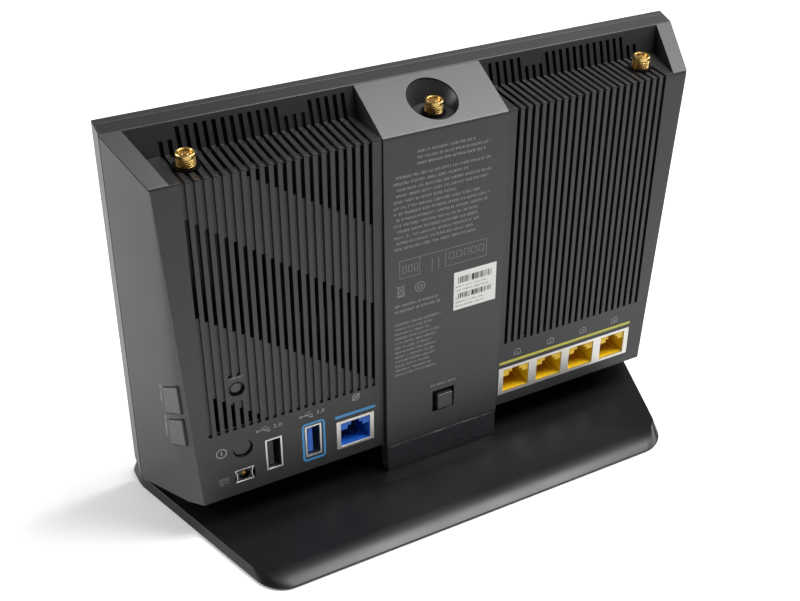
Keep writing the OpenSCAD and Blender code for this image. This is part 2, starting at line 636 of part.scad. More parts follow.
module dc_pin() color("#c9a54a") on_rear(dc_x, dc_s) peg(0.65, -11, -1.4);

// A push button's stem ends in a square plunger that slides in its switch.
module plunger(side, tip, top) block(side, side, tip, top);
module push_switch(w, h, top, side) difference() {
    block(w, h, -board_n, top);
    block(side + 0.4, side + 0.4, top - 5, top + over);
}
module power_button() color("#1a1a1b") on_rear(power_x, power_s) {
    peg(power_r, -5, -1);
    peg(power_r + 1.2, -4, -wall - 0.1);
    plunger(3, -12.5, -4.9);
}
module power_switch() color("#2f2f31") on_rear(power_x, power_s) push_switch(8, 7.2, -10.5, 3);
module reset_button() color("#4a4a4d") on_rear(reset_x, reset_s) {
    peg(reset_r, -11, -0.9);
    peg(reset_r + 1.5, -4, -wall - 0.1);
    plunger(1.4, -13.5, -10.9);
}
module reset_switch() color("#c8c8c8") on_rear(reset_x, reset_s) push_switch(6, 6, -12.5, 1.4);
module led_button() color("#2a2a2c") on_spine(0, led_s) {
    block(led_side, led_side, -6, 1.5);
    block(led_window + 1, led_window + 1, -6, -3.6);
    plunger(2.4, -14.8, -5.9);
}
module led_switch() color("#c8c8c8") on_rear(0, led_s + 0.2) push_switch(6, 6, -12.2, 3);

// A slanted side button that is cut free on three sides and bends at its front edge.
module tab_solid(z, t, grow) translate([-t, 0, 0]) rotate([90, 0, 90])
    linear_extrude(t + (grow > 0 ? over : 0.3)) polygon([
        [tab_along + (tab_top - z)*tab_lean - (grow > 0 ? 0.08 : 0), z - tab_h - grow*1.3],
        [tab_along + (tab_top - z)*tab_lean + tab_w + tab_h*tab_lean + grow,
            z - tab_h + (tab_w + grow)*tan(tab_slant) - grow*1.3],
        [tab_along + (tab_top - z)*tab_lean + tab_w + grow,
            z + (tab_w + grow)*tan(tab_slant) + grow*1.3],
        [tab_along + (tab_top - z)*tab_lean - (grow > 0 ? 0.08 : 0), z + grow*1.3]]);
function tab_mid(z) = tab_along + (tab_top - z)*tab_lean + tab_w/2 + 0.4;
module side_button(z) on_side() {
    tab_solid(z, tab_t, 0);
    translate([-4.4, tab_mid(z) - 1, z - 4.4]) cube([4, 2, 2]);
}
module wps_button() color("#3c3a3a") side_button(tab_top);
module wifi_button() color("#3c3a3a") side_button(tab_top - tab_drop);
// A plug on the main board reaches out to the board behind the side buttons.
link_s = 96;
link_t = 3.4;
link_y = rear_pt(link_s, -board_n + link_t/2)[0];
link_x = half_w - (link_y - band_d)*tan(side_taper) - 9/cos(side_taper);
// A small board behind the side buttons, with a tact switch for each.
module side_switch_board() color("#1d5a36") {
    on_side() {
        translate([-9.6, 11, 26]) cube([1.2, 18, 40]);
        for (z = [tab_top, tab_top - tab_drop]) translate([-8.5, tab_mid(z) - 3, z - 6.4])
            cube([3, 6, 6]);
    }
    on_rear(0, link_s) translate([board_half - 4.4, -board_n, -5])
        cube([link_x - board_half + 4.4, link_t, 10]);
}

pin_r = 0.5;
ring_t = 0.6;
shank_r = thread_r - 0.2;
module antenna_connector(x) color("#c9a040") body_frame() translate([x, antenna_y, 0])
    difference() {
        union() {
            translate([0, 0, floor_z - wall - 8]) cylinder(r = shank_r, h = wall + 8.1 + ring_t);
            translate([0, 0, floor_z + ring_t]) cylinder(r = thread_r, h = thread_h - ring_t);
            translate([0, 0, floor_z - wall - 1.6]) cylinder(r = 5, h = 1.6);
        }
        translate([0, 0, floor_z + thread_h - 4]) cylinder(r = 2.3, h = 5);
    }
module antenna_insulators() color("#efeae0") for (x = [-antenna_x, 0, antenna_x]) body_frame()
    translate([x, antenna_y, floor_z + thread_h - 4]) {
        cylinder(r = 2.25, h = 1.5);
        cylinder(r = pin_r, h = 3.4);
    }
module antenna_rings() color("#2a2a2a") for (x = [-antenna_x, 0, antenna_x]) body_frame()
    translate([x, antenna_y, floor_z]) difference() {
        cylinder(r = 4.3, h = ring_t);
        translate([0, 0, -over]) cylinder(r = shank_r + 0.02, h = 5);
    }
// The lead of an antenna connector, from the connector's foot to the board.
lead_r = 0.7;
module antenna_lead(x) color("#2b2b2b") body_frame() translate([x, 0, 0]) {
    top = floor_z - wall - 8;
    translate([0, antenna_y, top - 6]) cylinder(r = lead_r, h = 6);
    translate([0, antenna_y, top - 6]) sphere(r = lead_r);
    translate([0, antenna_y, top - 6]) rotate([90, 0, 0]) cylinder(r = lead_r, h = lead_run(top));
}
// Distance from the lead's bend to the near side of the board.
function lead_run(top) = antenna_y - (edge[0] + (edge[1] - top + 6)*tan(rear_lean)
    - board_n/cos(rear_lean)) - lead_r*tan(rear_lean);
module barcode_label() color("#e6e6e2") on_spine(-12.6, 65.5) block(18, 15.8, 0, 0.12);

front_cover();
front_panel();
led_lens();
light_guide();
rear_shell();
spine_cover();
clear_block();
stand_base();
stand_weight();
stand_cover();
stand_neck();
rubber_feet();
stand_screws();
main_board();
board_screws();
case_screws();
heatsink_large();
heatsink_small();
processor();
radio_chips();
shield_can_left();
shield_can_right();
capacitors();
lan_shield();
lan_housing(1);  // lan_housing_1
lan_housing(2);  // lan_housing_2
lan_housing(3);  // lan_housing_3
lan_housing(4);  // lan_housing_4
lan_contacts();
wan_shield();
wan_housing();
wan_contacts();
usb2_shell();
usb2_tongue();
usb3_shell();
usb3_tongue();
usb3_frame();
wan_stripe();
lan_stripe();
dc_jack();
dc_rim();
dc_pin();
power_button();
power_switch();
reset_button();
reset_switch();
led_button();
led_switch();
wps_button();
wifi_button();
side_switch_board();
antenna_connector(antenna_x);  // antenna_connector_left
antenna_connector(-antenna_x);  // antenna_connector_right
antenna_connector(0);  // antenna_connector_centre
antenna_insulators();
antenna_rings();
antenna_lead(antenna_x);  // antenna_lead_left
antenna_lead(-antenna_x);  // antenna_lead_right
antenna_lead(0);  // antenna_lead_centre
barcode_label();
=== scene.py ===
import json
import math
import random
import bpy
from mathutils import Matrix, Vector


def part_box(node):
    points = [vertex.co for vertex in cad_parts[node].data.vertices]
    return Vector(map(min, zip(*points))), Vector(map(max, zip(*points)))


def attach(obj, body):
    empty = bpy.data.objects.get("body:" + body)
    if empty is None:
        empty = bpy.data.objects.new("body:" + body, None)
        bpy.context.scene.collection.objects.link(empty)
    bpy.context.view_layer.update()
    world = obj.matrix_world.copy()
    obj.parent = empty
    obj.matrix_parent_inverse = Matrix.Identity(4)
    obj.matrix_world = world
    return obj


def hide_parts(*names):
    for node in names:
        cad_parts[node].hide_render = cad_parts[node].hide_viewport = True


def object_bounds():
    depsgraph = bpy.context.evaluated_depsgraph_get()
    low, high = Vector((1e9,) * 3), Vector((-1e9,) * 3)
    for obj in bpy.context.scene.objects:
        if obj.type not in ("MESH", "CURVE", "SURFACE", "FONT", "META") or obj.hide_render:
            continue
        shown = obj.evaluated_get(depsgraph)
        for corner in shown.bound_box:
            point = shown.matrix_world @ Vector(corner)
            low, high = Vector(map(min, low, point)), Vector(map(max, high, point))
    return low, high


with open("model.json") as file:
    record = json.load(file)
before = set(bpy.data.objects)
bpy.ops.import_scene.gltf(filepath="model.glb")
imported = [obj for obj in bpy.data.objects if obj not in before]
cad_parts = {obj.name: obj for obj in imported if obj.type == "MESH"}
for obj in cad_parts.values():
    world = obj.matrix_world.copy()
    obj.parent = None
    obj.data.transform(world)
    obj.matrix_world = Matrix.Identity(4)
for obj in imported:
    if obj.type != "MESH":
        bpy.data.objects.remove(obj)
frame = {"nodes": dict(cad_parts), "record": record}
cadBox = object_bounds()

mm = 0.001
record = frame["record"]
mounts = {m["name"]: m for m in record["mounts"]}
joints = {j["name"]: j for j in record["behaviour"]["joints"]}
# heights in mm of the ink above a moulded face, and of the ink above the spine beside its paper label
inkLift = 0.02
labelLift = 0.14


def linear(code, alpha=1.0):
    parts = [int(code[i:i + 2], 16) / 255 for i in (1, 3, 5)]
    return [c / 12.92 if c <= 0.04045 else ((c + 0.055) / 1.055) ** 2.4 for c in parts] + [alpha]


# ---- camera
cameraSetup = {"target": (14.773, -4.15, 74.279), "azimuth": 149.81, "elevation": 36.279,
               "roll": 2.875, "distance": 415.48, "lens": 51.83}


def placeCamera():
    az, el, roll = (math.radians(cameraSetup[k]) for k in ("azimuth", "elevation", "roll"))
    back = Vector((math.sin(az) * math.cos(el), -math.cos(az) * math.cos(el), math.sin(el)))
    right = (-back).cross(Vector((0, 0, 1))).normalized()
    up = right.cross(-back)
    camX = right * math.cos(roll) + up * math.sin(roll)
    camY = up * math.cos(roll) - right * math.sin(roll)
    turn = Matrix((camX, camY, back)).transposed().to_4x4()
    place = Vector(cameraSetup["target"]) * mm + back * cameraSetup["distance"] * mm
    bpy.ops.object.camera_add(location=place, rotation=turn.to_euler())
    camera = bpy.context.object
    camera.name = "viewCamera"
    camera.data.sensor_fit = "HORIZONTAL"
    camera.data.sensor_width = 36
    camera.data.lens = cameraSetup["lens"]
    camera.data.clip_start = 0.01
    bpy.context.scene.camera = camera


placeCamera()
print("stage: camera placed")


# ---- node helper and materials
def addNode(tree, kind, settings=None, links=None):
    node = tree.nodes.new(kind)
    for key, value in (settings or {}).items():
        if key.startswith("in:"):
            socket = key[3:]
            node.inputs[int(socket) if socket.isdigit() else socket].default_value = value
        else:
            setattr(node, key, value)
    for socket, source in (links or {}).items():
        tree.links.new(source, node.inputs[int(socket) if socket.isdigit() else socket])
    return node


def startMaterial(name):
    material = bpy.data.materials.new(name)
    material.use_nodes = True
    tree = material.node_tree
    tree.nodes.clear()
    coords = addNode(tree, "ShaderNodeTexCoord").outputs["Object"]
    return material, tree, coords


def finishMaterial(tree, shader):
    addNode(tree, "ShaderNodeOutputMaterial", links={"Surface": shader.outputs[0]})


# spark-eroded ABS: a dry dark skin of fine pits that catches light as pale speckle
def mouldedPlastic(name, dark, light, rough, grainMm, reliefMm, speck=0.5, coat=0.0):
    material, tree, coords = startMaterial(name)
    grain = addNode(tree, "ShaderNodeTexNoise", {"in:Scale": 1000 / grainMm, "in:Detail": 3.0,
                                                 "in:Roughness": 0.6}, {"Vector": coords})
    cloud = addNode(tree, "ShaderNodeTexNoise", {"in:Scale": 22.0, "in:Detail": 4.0}, {"Vector": coords})
    ramp = addNode(tree, "ShaderNodeValToRGB", links={"Fac": grain.outputs["Fac"]})
    ramp.color_ramp.elements[0].position = 0.5 - 0.22 * speck
    ramp.color_ramp.elements[1].position = 0.5 + 0.3 * speck
    ramp.color_ramp.elements[0].color = linear(dark)
    ramp.color_ramp.elements[1].color = linear(light)
    worn = addNode(tree, "ShaderNodeMapRange", {"in:3": rough - 0.06, "in:4": rough + 0.08},
                   {"0": cloud.outputs["Fac"]})
    bump = addNode(tree, "ShaderNodeBump", {"in:Strength": 0.6, "in:Distance": reliefMm * mm},
                   {"Height": grain.outputs["Fac"]})
    shader = addNode(tree, "ShaderNodeBsdfPrincipled", {"in:IOR": 1.52, "in:Coat Weight": coat,
                                                        "in:Coat Roughness": 0.08},
                     {"Base Color": ramp.outputs["Color"], "Roughness": worn.outputs[0],
                      "Normal": bump.outputs[0]})
    finishMaterial(tree, shader)
    return material


# polished plastic: a near-black mirror skin with faint hair scratches and dust dulling
def polishedPlastic(name, colour, rough, ior=1.5):
    material, tree, coords = startMaterial(name)
    scratch = addNode(tree, "ShaderNodeTexNoise", {"in:Scale": 900.0, "in:Detail": 2.0}, {"Vector": coords})
    smear = addNode(tree, "ShaderNodeTexNoise", {"in:Scale": 30.0, "in:Detail": 5.0}, {"Vector": coords})
    dull = addNode(tree, "ShaderNodeMapRange",
                   {"in:1": 0.3, "in:2": 0.8, "in:3": rough, "in:4": rough + 0.12},
                   {"0": smear.outputs["Fac"]})
    bump = addNode(tree, "ShaderNodeBump", {"in:Strength": 0.05, "in:Distance": 0.02 * mm},
                   {"Height": scratch.outputs["Fac"]})
    shader = addNode(tree, "ShaderNodeBsdfPrincipled", {"in:Base Color": linear(colour), "in:IOR": ior},
                     {"Roughness": dull.outputs[0], "Normal": bump.outputs[0]})
    finishMaterial(tree, shader)
    return material


# plated or rolled metal: bright, with fine drawn streaks along one axis
def drawnMetal(name, colour, rough, stretch=(1.0, 1.0, 1.0), grainMm=0.4):
    material, tree, coords = startMaterial(name)
    mapping = addNode(tree, "ShaderNodeMapping", {"in:Scale": stretch}, {"Vector": coords})
    grain = addNode(tree, "ShaderNodeTexNoise", {"in:Scale": 1000 / grainMm, "in:Detail": 3.0},
                    {"Vector": mapping.outputs[0]})
    tone = addNode(tree, "ShaderNodeHueSaturation", {"in:Color": linear(colour)}, {})
    shade = addNode(tree, "ShaderNodeMapRange", {"in:3": 0.8, "in:4": 1.15}, {"0": grain.outputs["Fac"]})
    tree.links.new(shade.outputs[0], tone.inputs["Value"])
    worn = addNode(tree, "ShaderNodeMapRange", {"in:3": rough - 0.07, "in:4": rough + 0.1},
                   {"0": grain.outputs["Fac"]})
    bump = addNode(tree, "ShaderNodeBump", {"in:Strength": 0.15, "in:Distance": 0.02 * mm},
                   {"Height": grain.outputs["Fac"]})
    shader = addNode(tree, "ShaderNodeBsdfPrincipled", {"in:Metallic": 1.0},
                     {"Base Color": tone.outputs["Color"], "Roughness": worn.outputs[0],
                      "Normal": bump.outputs[0]})
    finishMaterial(tree, shader)
    return material


# printed ink: flat pigment with slightly broken edges and density
def printedInk(name, colour, rough=0.5):
    material, tree, coords = startMaterial(name)
    grain = addNode(tree, "ShaderNodeTexNoise", {"in:Scale": 3000.0, "in:Detail": 2.0}, {"Vector": coords})
    tone = addNode(tree, "ShaderNodeMapRange", {"in:3": 0.75, "in:4": 1.15}, {"0": grain.outputs["Fac"]})
    mixed = addNode(tree, "ShaderNodeHueSaturation", {"in:Color": linear(colour)},
                    {"Value": tone.outputs[0]})
    shader = addNode(tree, "ShaderNodeBsdfPrincipled", {"in:Roughness": rough},
                     {"Base Color": mixed.outputs[0]})
    finishMaterial(tree, shader)
    return material


# clear acrylic: the edges glow and the black parts behind show through
def clearAcrylic(name, colour, rough, weight):
    material, tree, coords = startMaterial(name)
    haze = addNode(tree, "ShaderNodeTexNoise", {"in:Scale": 120.0, "in:Detail": 3.0}, {"Vector": coords})
    dull = addNode(tree, "ShaderNodeMapRange", {"in:3": rough, "in:4": rough + 0.05},
                   {"0": haze.outputs["Fac"]})
    shader = addNode(tree, "ShaderNodeBsdfPrincipled", {"in:Base Color": linear(colour), "in:IOR": 1.49,
                                                        "in:Transmission Weight": weight},
                     {"Roughness": dull.outputs[0]})
    finishMaterial(tree, shader)
    return material


# solder mask over glass fibre, tinted near-black green as painted shade of the casing's interior, with
# slightly paler copper runs under it
def shadeDarkBoardMask(name):
    material, tree, coords = startMaterial(name)
    runs = addNode(tree, "ShaderNodeTexBrick",
                   {"in:Scale": 160.0, "in:Color1": linear("#08150d"), "in:Color2": linear("#0a1a10"),
                    "in:Mortar": linear("#10301c"), "in:Mortar Size": 0.03}, {"Vector": coords})
    shader = addNode(tree, "ShaderNodeBsdfPrincipled", {"in:Roughness": 0.38},
                     {"Base Color": runs.outputs["Color"]})
    finishMaterial(tree, shader)
    return material


shellPlastic = mouldedPlastic("sparkErodedAbs", "#0f0f10", "#222224", 0.42, 0.5, 0.06, 0.8)
coverPlastic = mouldedPlastic("sparkErodedCoverAbs", "#161617", "#2d2d2f", 0.42, 0.5, 0.05, 0.8)
spinePlastic = mouldedPlastic("fineTexturedSpineAbs", "#19191a", "#2a2a2c", 0.4, 0.45, 0.05, 0.7)
panelPlastic = mouldedPlastic("texturedPanelAbs", "#161618", "#222225", 0.42, 0.9, 0.08)
buttonPlastic = mouldedPlastic("satinButtonAbs", "#1a1a1b", "#2b2b2d", 0.36, 0.4, 0.03)
sideButtonPlastic = mouldedPlastic("satinSideButtonAbs", "#2c2c2d", "#444446", 0.45, 0.5, 0.05)
insertPlastic = mouldedPlastic("blackSocketNylon", "#0b0b0c", "#161618", 0.4, 0.4, 0.02)
chipPlastic = mouldedPlastic("mouldedChipEpoxy", "#101011", "#1e1e20", 0.6, 0.3, 0.03)
switchPlastic = mouldedPlastic("greyActuatorNylon", "#8d8f91", "#b5b7b9", 0.45, 0.5, 0.02)
yellowNylon = mouldedPlastic("yellowSocketNylon", "#dcae06", "#f2cd25", 0.4, 0.6, 0.02)
blueNylon = mouldedPlastic("blueSocketNylon", "#0e4fae", "#2670d8", 0.4, 0.6, 0.02)
rubberFoot = mouldedPlastic("mouldedNitrileRubber", "#0d0d0d", "#1b1b1b", 0.8, 0.7, 0.05)
leadJacket = mouldedPlastic("extrudedLeadJacket", "#101010", "#232323", 0.5, 0.4, 0.02)
ptfeMaterial = mouldedPlastic("turnedPtfe", "#d8d0c0", "#f2ece0", 0.5, 0.5, 0.02)
canSleeve = mouldedPlastic("capacitorShrinkSleeve", "#101820", "#26323c", 0.3, 0.8, 0.02)
diffuserPlastic = mouldedPlastic("milkyGuideAcrylic", "#c8ccd0", "#eceff2", 0.25, 2.0, 0.02)
standPlastic = polishedPlastic("polishedStandAbs", "#0e0e11", 0.26, 1.36)
smokedPlastic = polishedPlastic("smokedLensAcrylic", "#15171a", 0.08)
clearPlastic = clearAcrylic("clearUprightAcrylic", "#8d9096", 0.04, 0.9)
goldMetal = drawnMetal("turnedGoldPlate", "#cfae6c", 0.26, (1.0, 1.0, 6.0), 0.8)
contactMetal = drawnMetal("stampedGoldContact", "#d9a94a", 0.25)
tinMetal = drawnMetal("stampedTinPlate", "#c9c7c2", 0.3, (1.0, 6.0, 1.0), 0.6)
steelMetal = drawnMetal("zincSteel", "#a9abad", 0.32)
weightMetal = drawnMetal("rolledSteelPlate", "#8a8b8d", 0.42, (0.1, 1.0, 1.0), 0.8)
# the heatsinks are tinted near-black as painted shade of the casing's interior, seen through the slots
heatsinkShadeMetal = drawnMetal("heatsinkAluminiumDarkenedAsShade", "#26272a", 0.5, (1.0, 1.0, 0.1), 0.6)
ringMetal = drawnMetal("blackOxideSteel", "#1a1a1b", 0.45)
# the boards are tinted near-black as painted shade of the casing's interior
shadeDarkBoardMaterial = shadeDarkBoardMask("solderMaskDarkenedAsShade")
yellowInk = printedInk("yellowPadInk", "#b9b43a", 0.4)
blueInk = printedInk("bluePadInk", "#3585bb", 0.4)
greyInk = printedInk("greyPadInk", "#77787a")
paleInk = printedInk("palePadInk", "#9a9b9d")
darkInk = printedInk("blackThermalInk", "#1c1c1e", 0.6)
labelPaper = printedInk("coatedLabelPaper", "#dcdcd8", 0.45)

nodeMaterials = {
    "front_cover": coverPlastic, "front_panel": panelPlastic, "led_lens": smokedPlastic,
    "light_guide": diffuserPlastic, "rear_shell": shellPlastic, "spine_cover": spinePlastic,
    "clear_block": clearPlastic, "stand_base": standPlastic, "stand_weight": weightMetal,
    "stand_cover": insertPlastic, "stand_neck": standPlastic, "rubber_feet": rubberFoot,
    "stand_screws": steelMetal, "main_board": shadeDarkBoardMaterial, "board_screws": steelMetal,
    "case_screws": steelMetal, "heatsink_large": heatsinkShadeMetal, "heatsink_small": heatsinkShadeMetal,
    "processor": chipPlastic, "radio_chips": chipPlastic, "shield_can_left": tinMetal,
    "shield_can_right": tinMetal, "capacitors": canSleeve, "lan_shield": tinMetal,
    "lan_housing_1": yellowNylon, "lan_housing_2": yellowNylon, "lan_housing_3": yellowNylon,
    "lan_housing_4": yellowNylon, "lan_contacts": contactMetal, "wan_shield": tinMetal,
    "wan_housing": blueNylon, "wan_contacts": contactMetal, "usb2_shell": tinMetal,
    "usb2_tongue": insertPlastic, "usb3_shell": tinMetal, "usb3_tongue": blueNylon,
    "usb3_frame": blueInk, "wan_stripe": blueInk, "lan_stripe": yellowInk, "dc_jack": insertPlastic,
    "dc_rim": tinMetal, "dc_pin": contactMetal, "power_button": buttonPlastic, "power_switch": chipPlastic,
    "reset_button": sideButtonPlastic, "reset_switch": switchPlastic, "led_button": buttonPlastic,
    "led_switch": switchPlastic, "wps_button": sideButtonPlastic, "wifi_button": sideButtonPlastic,
    "side_switch_board": shadeDarkBoardMaterial, "antenna_connector_left": goldMetal,
    "antenna_connector_right": goldMetal, "antenna_connector_centre": goldMetal,
    "antenna_insulators": ptfeMaterial, "antenna_rings": ringMetal, "antenna_lead_left": leadJacket,
    "antenna_lead_right": leadJacket, "antenna_lead_centre": leadJacket, "barcode_label": labelPaper}
for nodeName, nodeObject in frame["nodes"].items():
    nodeObject.data.materials.clear()
    nodeObject.data.materials.append(nodeMaterials[nodeName])
print("stage: materials ready")


# ---- modelling helpers
def clearSelection():
    if bpy.context.mode != "OBJECT":
        bpy.ops.object.mode_set(mode="OBJECT")
    bpy.ops.object.select_all(action="DESELECT")


def activate(piece):
    clearSelection()
    piece.select_set(True)
    bpy.context.view_layer.objects.active = piece


def applyModifiers(piece):
    activate(piece)
    for modifier in list(piece.modifiers):
        bpy.ops.object.modifier_apply(modifier=modifier.name)


def bevelEdges(piece, widthMm, steps, angle):
    activate(piece)
    bpy.ops.object.shade_smooth()
    bevel = piece.modifiers.new("edges", "BEVEL")
    bevel.width = widthMm * mm
    bevel.segments = steps
    bevel.limit_method = "ANGLE"
    bevel.angle_limit = math.radians(angle)
    bevel.use_clamp_overlap = True
    bevel.miter_outer = "MITER_ARC"
    weighted = piece.modifiers.new("normals", "WEIGHTED_NORMAL")
    weighted.keep_sharp = False
    applyModifiers(piece)


# a CAD node's loose triangles are merged before its edges are eased; its flat faces are joined too,
# except where a face holds many openings that the join would cover
def easedCopy(nodeName, pieceName, widthMm, steps, angle=28, flatten=True):
    source = frame["nodes"][nodeName]
    piece = source.copy()
    piece.data = source.data.copy()
    piece.parent = None
    piece.matrix_world = Matrix.Identity(4)
    piece.name = pieceName
    bpy.context.collection.objects.link(piece)
    activate(piece)
    bpy.ops.object.mode_set(mode="EDIT")
    bpy.ops.mesh.select_all(action="SELECT")
    bpy.ops.mesh.remove_doubles(threshold=0.002 * mm)
    if flatten:
        bpy.ops.mesh.dissolve_limited(angle_limit=math.radians(0.6))
    bpy.ops.object.mode_set(mode="OBJECT")
    bevelEdges(piece, widthMm, steps, angle)
    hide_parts(nodeName)
    return piece


def finishPiece(piece, name, material, place=None):
    activate(piece)
    piece.name = name
    if place is not None:
        piece.matrix_world = place @ piece.matrix_world
    bpy.ops.object.transform_apply(location=True, rotation=True, scale=True)
    piece.data.materials.clear()
    piece.data.materials.append(material)
    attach(piece, "casing")
    return piece


# a turned part: one ring of edges is pulled and scaled along a profile of (radius, height)
def turnedPart(name, profile, centre, steps=48):
    clearSelection()
    x, y, z = centre
    r, h = profile[0]
    bpy.ops.mesh.primitive_circle_add(vertices=steps, radius=r * mm, fill_type="NGON",
                                      location=(x, y, z + h * mm))
    piece = bpy.context.object
    bpy.ops.object.transform_apply(location=True, rotation=True, scale=True)
    bpy.ops.object.mode_set(mode="EDIT")
    bpy.ops.mesh.select_all(action="SELECT")
    bpy.ops.mesh.flip_normals()
    for nextR, nextH in profile[1:]:
        bpy.ops.mesh.extrude_region_move(TRANSFORM_OT_translate={"value": (0, 0, (nextH - h) * mm)})
        grow = nextR / r
        bpy.ops.transform.resize(value=(grow, grow, 1), center_override=(x, y, z + nextH * mm))
        r, h = nextR, nextH
    bpy.ops.mesh.select_all(action="SELECT")
    bpy.ops.mesh.normals_make_consistent(inside=False)
    bpy.ops.object.mode_set(mode="OBJECT")
    bpy.ops.object.shade_smooth_by_angle(angle=math.radians(32))
    piece.name = name
    return piece


# frames on the leaning faces: right, up and outwards as a person reads the face
rearOut = -Vector(joints["power_press"]["axis"]).normalized()
spineOut = -Vector(joints["led_press"]["axis"]).normalized()
sideOut = -Vector(joints["wps_press"]["axis"]).normalized()
across = Vector((1, 0, 0))
wanPlace = Vector(mounts["wan"]["pos_m"])
labelLow, labelHigh = (Vector(c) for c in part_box("barcode_label"))


def faceFrame(origin, out, right):
    up = out.cross(right)
    return Matrix.Translation(origin) @ Matrix((right, up, out)).transposed().to_4x4()


rearUp = rearOut.cross(-across)
spineUp = spineOut.cross(-across)
# where the single network socket and the paper label stand on their faces, in mm
socketAt = {"along": 36.4, "down": 115.2}
labelAt = {"along": 12.6, "down": 65.5, "out": 0.06}
rearZero = wanPlace - across * socketAt["along"] * mm + rearUp * socketAt["down"] * mm
spineZero = ((labelLow + labelHigh) / 2 - spineOut * labelAt["out"] * mm + across * labelAt["along"] * mm
             + spineUp * labelAt["down"] * mm)


def onRear(xMm, downMm):
    return faceFrame(rearZero + across * xMm * mm - rearUp * downMm * mm + rearOut * inkLift * mm,
                     rearOut, -across)


def onSpine(xMm, downMm, outMm=inkLift):
    return faceFrame(spineZero + across * xMm * mm - spineUp * downMm * mm + spineOut * outMm * mm,
                     spineOut, -across)


# ---- casing
casing = {"shellEdge": 0.22, "coverEdge": 0.4, "panelEdge": 0.3, "spineEdge": 0.35, "blockEdge": 0.3,
          "standEdge": 0.7, "standAngle": 35}
rearShell = easedCopy("rear_shell", "rearShell", casing["shellEdge"], 2, flatten=False)
frontCover = easedCopy("front_cover", "frontCover", casing["coverEdge"], 3)
frontPanel = easedCopy("front_panel", "frontPanel", casing["panelEdge"], 2)
spineCover = easedCopy("spine_cover", "spineCover", casing["spineEdge"], 3)
clearBlock = easedCopy("clear_block", "clearBlock", casing["blockEdge"], 3)
standBase = easedCopy("stand_base", "standBase", casing["standEdge"], 4, casing["standAngle"])
for piece, slotName in ((rearShell, "black_plastic"), (frontCover, "black_plastic"),
                        (frontPanel, "panel_plastic"), (spineCover, "spine_plastic"),
                        (clearBlock, "clear_plastic"), (standBase, "gloss_black")):
    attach(piece, "casing")
print("stage: casing eased")

# ---- sockets
sockets = {"edge": 0.1, "parts": (
    ("wan_shield", "wanShield", "tin"), ("usb2_shell", "usbShellLower", "tin"),
    ("usb3_shell", "usbShellUpper", "tin"), ("dc_rim", "inletRim", "tin"),
    ("dc_jack", "powerInlet", "black_insert"))}
for nodeName, pieceName, slotName in sockets["parts"]:
    piece = easedCopy(nodeName, pieceName, sockets["edge"], 2)
    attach(piece, "casing")
print("stage: sockets eased")

# ---- buttons
for nodeName, pieceName, body, edge in (("led_button", "lightKey", "led_key", 0.5),
                                        ("power_button", "powerKey", "power_key", 0.5),
                                        ("reset_button", "resetKey", "reset_key", 0.25),
                                        ("wps_button", "sideKeyUpper", "wps_key", 0.18),
                                        ("wifi_button", "sideKeyLower", "wifi_key", 0.18)):
    piece = easedCopy(nodeName, pieceName, edge, 3)
    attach(piece, body)
print("stage: buttons eased")

# ---- threaded antenna connectors
connector = {"crest": 3.17, "root": 2.72, "pitch": 0.706, "turns": 4, "floor": 142.1, "collar": 3.12,
             "threadStart": 0.62, "shank": [(2.9, -10.0), (2.9, -3.6), (5.0, -3.6), (5.0, -2.0),
                                            (2.95, -2.0), (2.95, 0.6)],
             "mouth": [(2.9, 4.98), (2.5, 4.98), (2.32, 4.8), (2.3, 1.4)],
             "post": [(2.2, 1.2), (2.2, 4.1), (2.1, 4.25), (1.25, 4.25), (1.2, 4.5), (1.1, 4.6),
                      (0.55, 4.6), (0.45, 4.4), (0.45, 3.0)],
             "parts": (("antenna_connector_left", "connectorLeft"),
                       ("antenna_connector_right", "connectorRight"),
                       ("antenna_connector_centre", "connectorCentre"))}


def connectorProfile():
    root, crest, collar = connector["root"], connector["crest"], connector["collar"]
    profile = list(connector["shank"])
    for turn in range(connector["turns"]):
        h = connector["threadStart"] + turn * connector["pitch"]
        profile += [(root, h), (crest, h + 0.24), (crest, h + 0.4), (root, h + 0.64)]
    return profile + [(collar, 3.55), (collar, 4.75)] + connector["mouth"]


def connectorCentre(nodeName):
    low, high = (Vector(c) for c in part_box(nodeName))
    return (low.x + high.x) / 2, (low.y + high.y) / 2, connector["floor"] * mm


def joinPieces(pieces):
    clearSelection()
    for piece in pieces:
        piece.select_set(True)
    bpy.context.view_layer.objects.active = pieces[0]
    bpy.ops.object.join()
    return pieces[0]


for nodeName, pieceName in connector["parts"]:
    piece = turnedPart(pieceName, connectorProfile(), connectorCentre(nodeName))
    finishPiece(piece, pieceName, goldMetal)
    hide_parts(nodeName)
posts = [turnedPart("post", connector["post"], connectorCentre(nodeName), 32)
         for nodeName, pieceName in connector["parts"]]
contactPosts = finishPiece(joinPieces(posts), "contactPosts", goldMetal)
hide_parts("antenna_insulators")
print("stage: connectors turned")


# ---- pad printing, kept as thin ink a hair above each face
def inkSheet(name, widthMm, heightMm, cellMm, keep, place, material):
    clearSelection()
    columns, rows = round(widthMm / cellMm), round(heightMm / cellMm)
    bpy.ops.mesh.primitive_grid_add(x_subdivisions=columns, y_subdivisions=rows, size=1)
    piece = bpy.context.object
    piece.scale = (widthMm * mm, heightMm * mm, 1)
    bpy.ops.object.transform_apply(location=True, rotation=True, scale=True)
    bpy.ops.object.mode_set(mode="EDIT")
    bpy.ops.mesh.select_mode(type="FACE")
    bpy.ops.mesh.select_all(action="DESELECT")
    bpy.ops.object.mode_set(mode="OBJECT")
    for polygon in piece.data.polygons:
        column = int((polygon.center.x / mm + widthMm / 2) / cellMm)
        row = int((heightMm / 2 - polygon.center.y / mm) / cellMm)
        polygon.select = not keep(column, row)
    bpy.ops.object.mode_set(mode="EDIT")
    bpy.ops.mesh.delete(type="FACE")
    bpy.ops.object.mode_set(mode="OBJECT")
    return finishPiece(piece, name, material, place)


